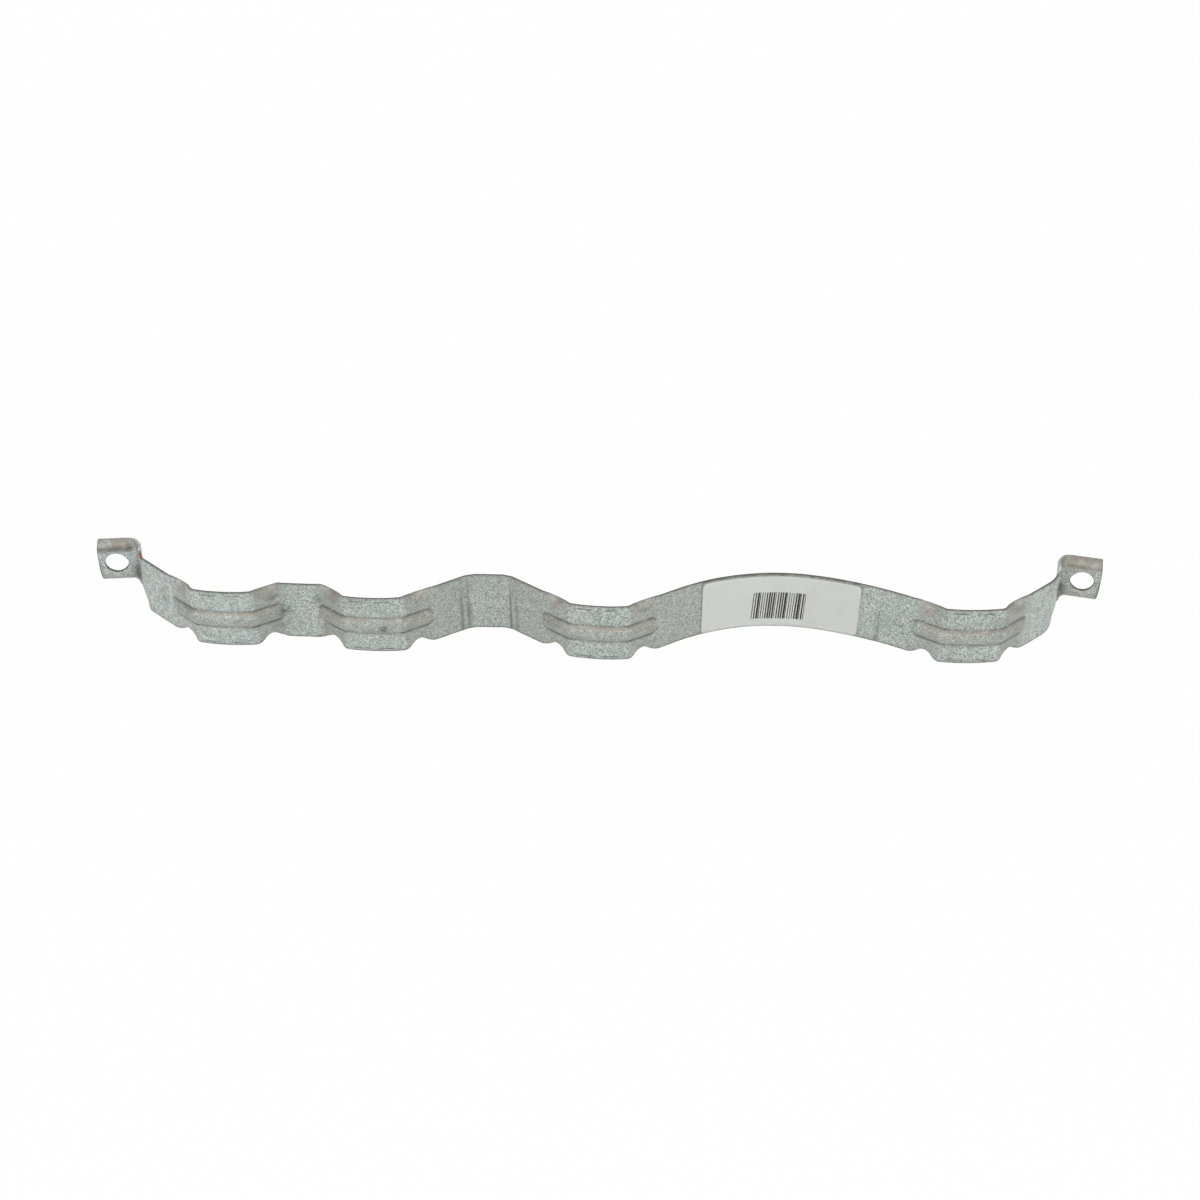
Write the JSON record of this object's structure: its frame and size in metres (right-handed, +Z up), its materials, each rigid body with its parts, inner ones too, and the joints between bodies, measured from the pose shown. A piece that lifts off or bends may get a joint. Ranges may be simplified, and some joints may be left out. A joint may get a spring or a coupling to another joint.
{
  "type": "motor mount band",
  "caption": "Galvanised steel motor mount band, opened out, with four ribbed saddles for mounting arms and a lipped bolt ear at each end.",
  "frame": {"origin": "middle of the band's footprint, on the surface that its lower edge stands on", "axes": "+X along the band towards its right ear, +Z up across the strip, -Y out of the band's outer face"},
  "size_m": [0.4494, 0.0558, 0.0318],
  "materials": {
    "galvanised_steel": "galvanised, fine spangle",
    "label_paper": "matt coated paper"
  },
  "bodies": {
    "root": {"band": "galvanised_steel", "label": "label_paper"}
  },
  "joints": []
}
